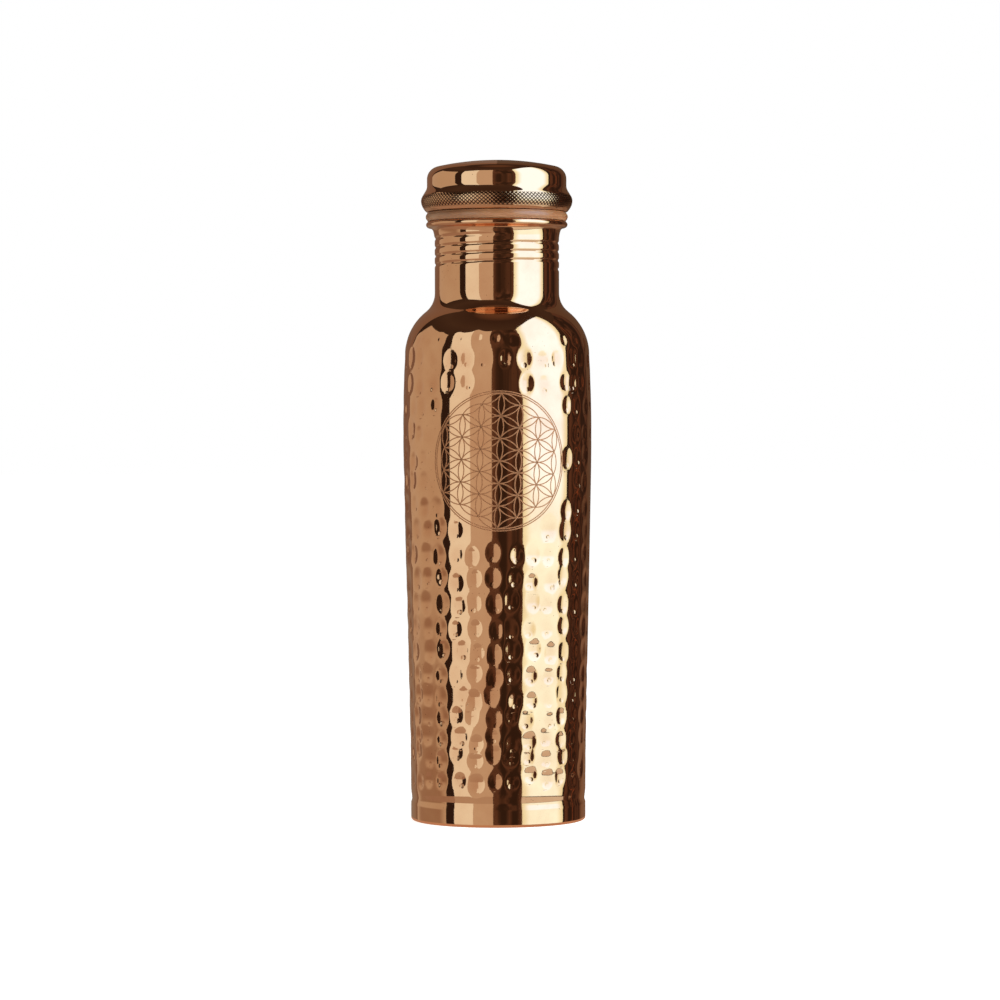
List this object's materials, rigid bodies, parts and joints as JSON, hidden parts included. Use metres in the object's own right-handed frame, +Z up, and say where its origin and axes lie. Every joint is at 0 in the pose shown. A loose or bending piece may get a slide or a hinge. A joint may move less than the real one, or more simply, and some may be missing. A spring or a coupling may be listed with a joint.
{
  "type": "copper water bottle",
  "caption": "Tall hammered copper water bottle with a medallion on its smooth front, a thread rolled into the neck, a silicone washer and a knurled screw lid.",
  "frame": {"origin": "centre of the foot, on the plane that the bottle stands on", "axes": "+Z up along the bottle's axis towards the lid; -Y towards the medallion on the front"},
  "size_m": [0.0756, 0.0756, 0.2653],
  "materials": {
    "hammered_copper": "polished hammered copper under clear lacquer",
    "base_copper": "pressed copper, half bright",
    "lid_copper": "spun and polished copper, knurled grip bead",
    "plug_copper": "bright turned copper",
    "silicone": "matte translucent silicone",
    "solder": "dull tin solder"
  },
  "bodies": {
    "bottle": {"bottle_shell": "hammered_copper", "base_disc": "base_copper", "base_solder": "solder"},
    "washer": {"gasket": "silicone"},
    "lid": {"lid_cap": "lid_copper", "lid_plug": "plug_copper", "plug_floor": "plug_copper", "plug_solder": "solder"}
  },
  "joints": [
    {"name": "lid_lift", "type": "slide", "parent": "bottle", "child": "washer", "axis": [0, 0, 1], "range_m": [0, 0.0225]},
    {"name": "lid_turn", "type": "hinge", "parent": "washer", "child": "lid", "pos_m": [0, 0, 0.2446], "axis": [0, 0, 1], "range_deg": [0, 2250]}
  ],
  "couplings": [
    {"joint": "lid_lift", "follows": "lid_turn", "m_per_rad": 0.00055704}
  ]
}
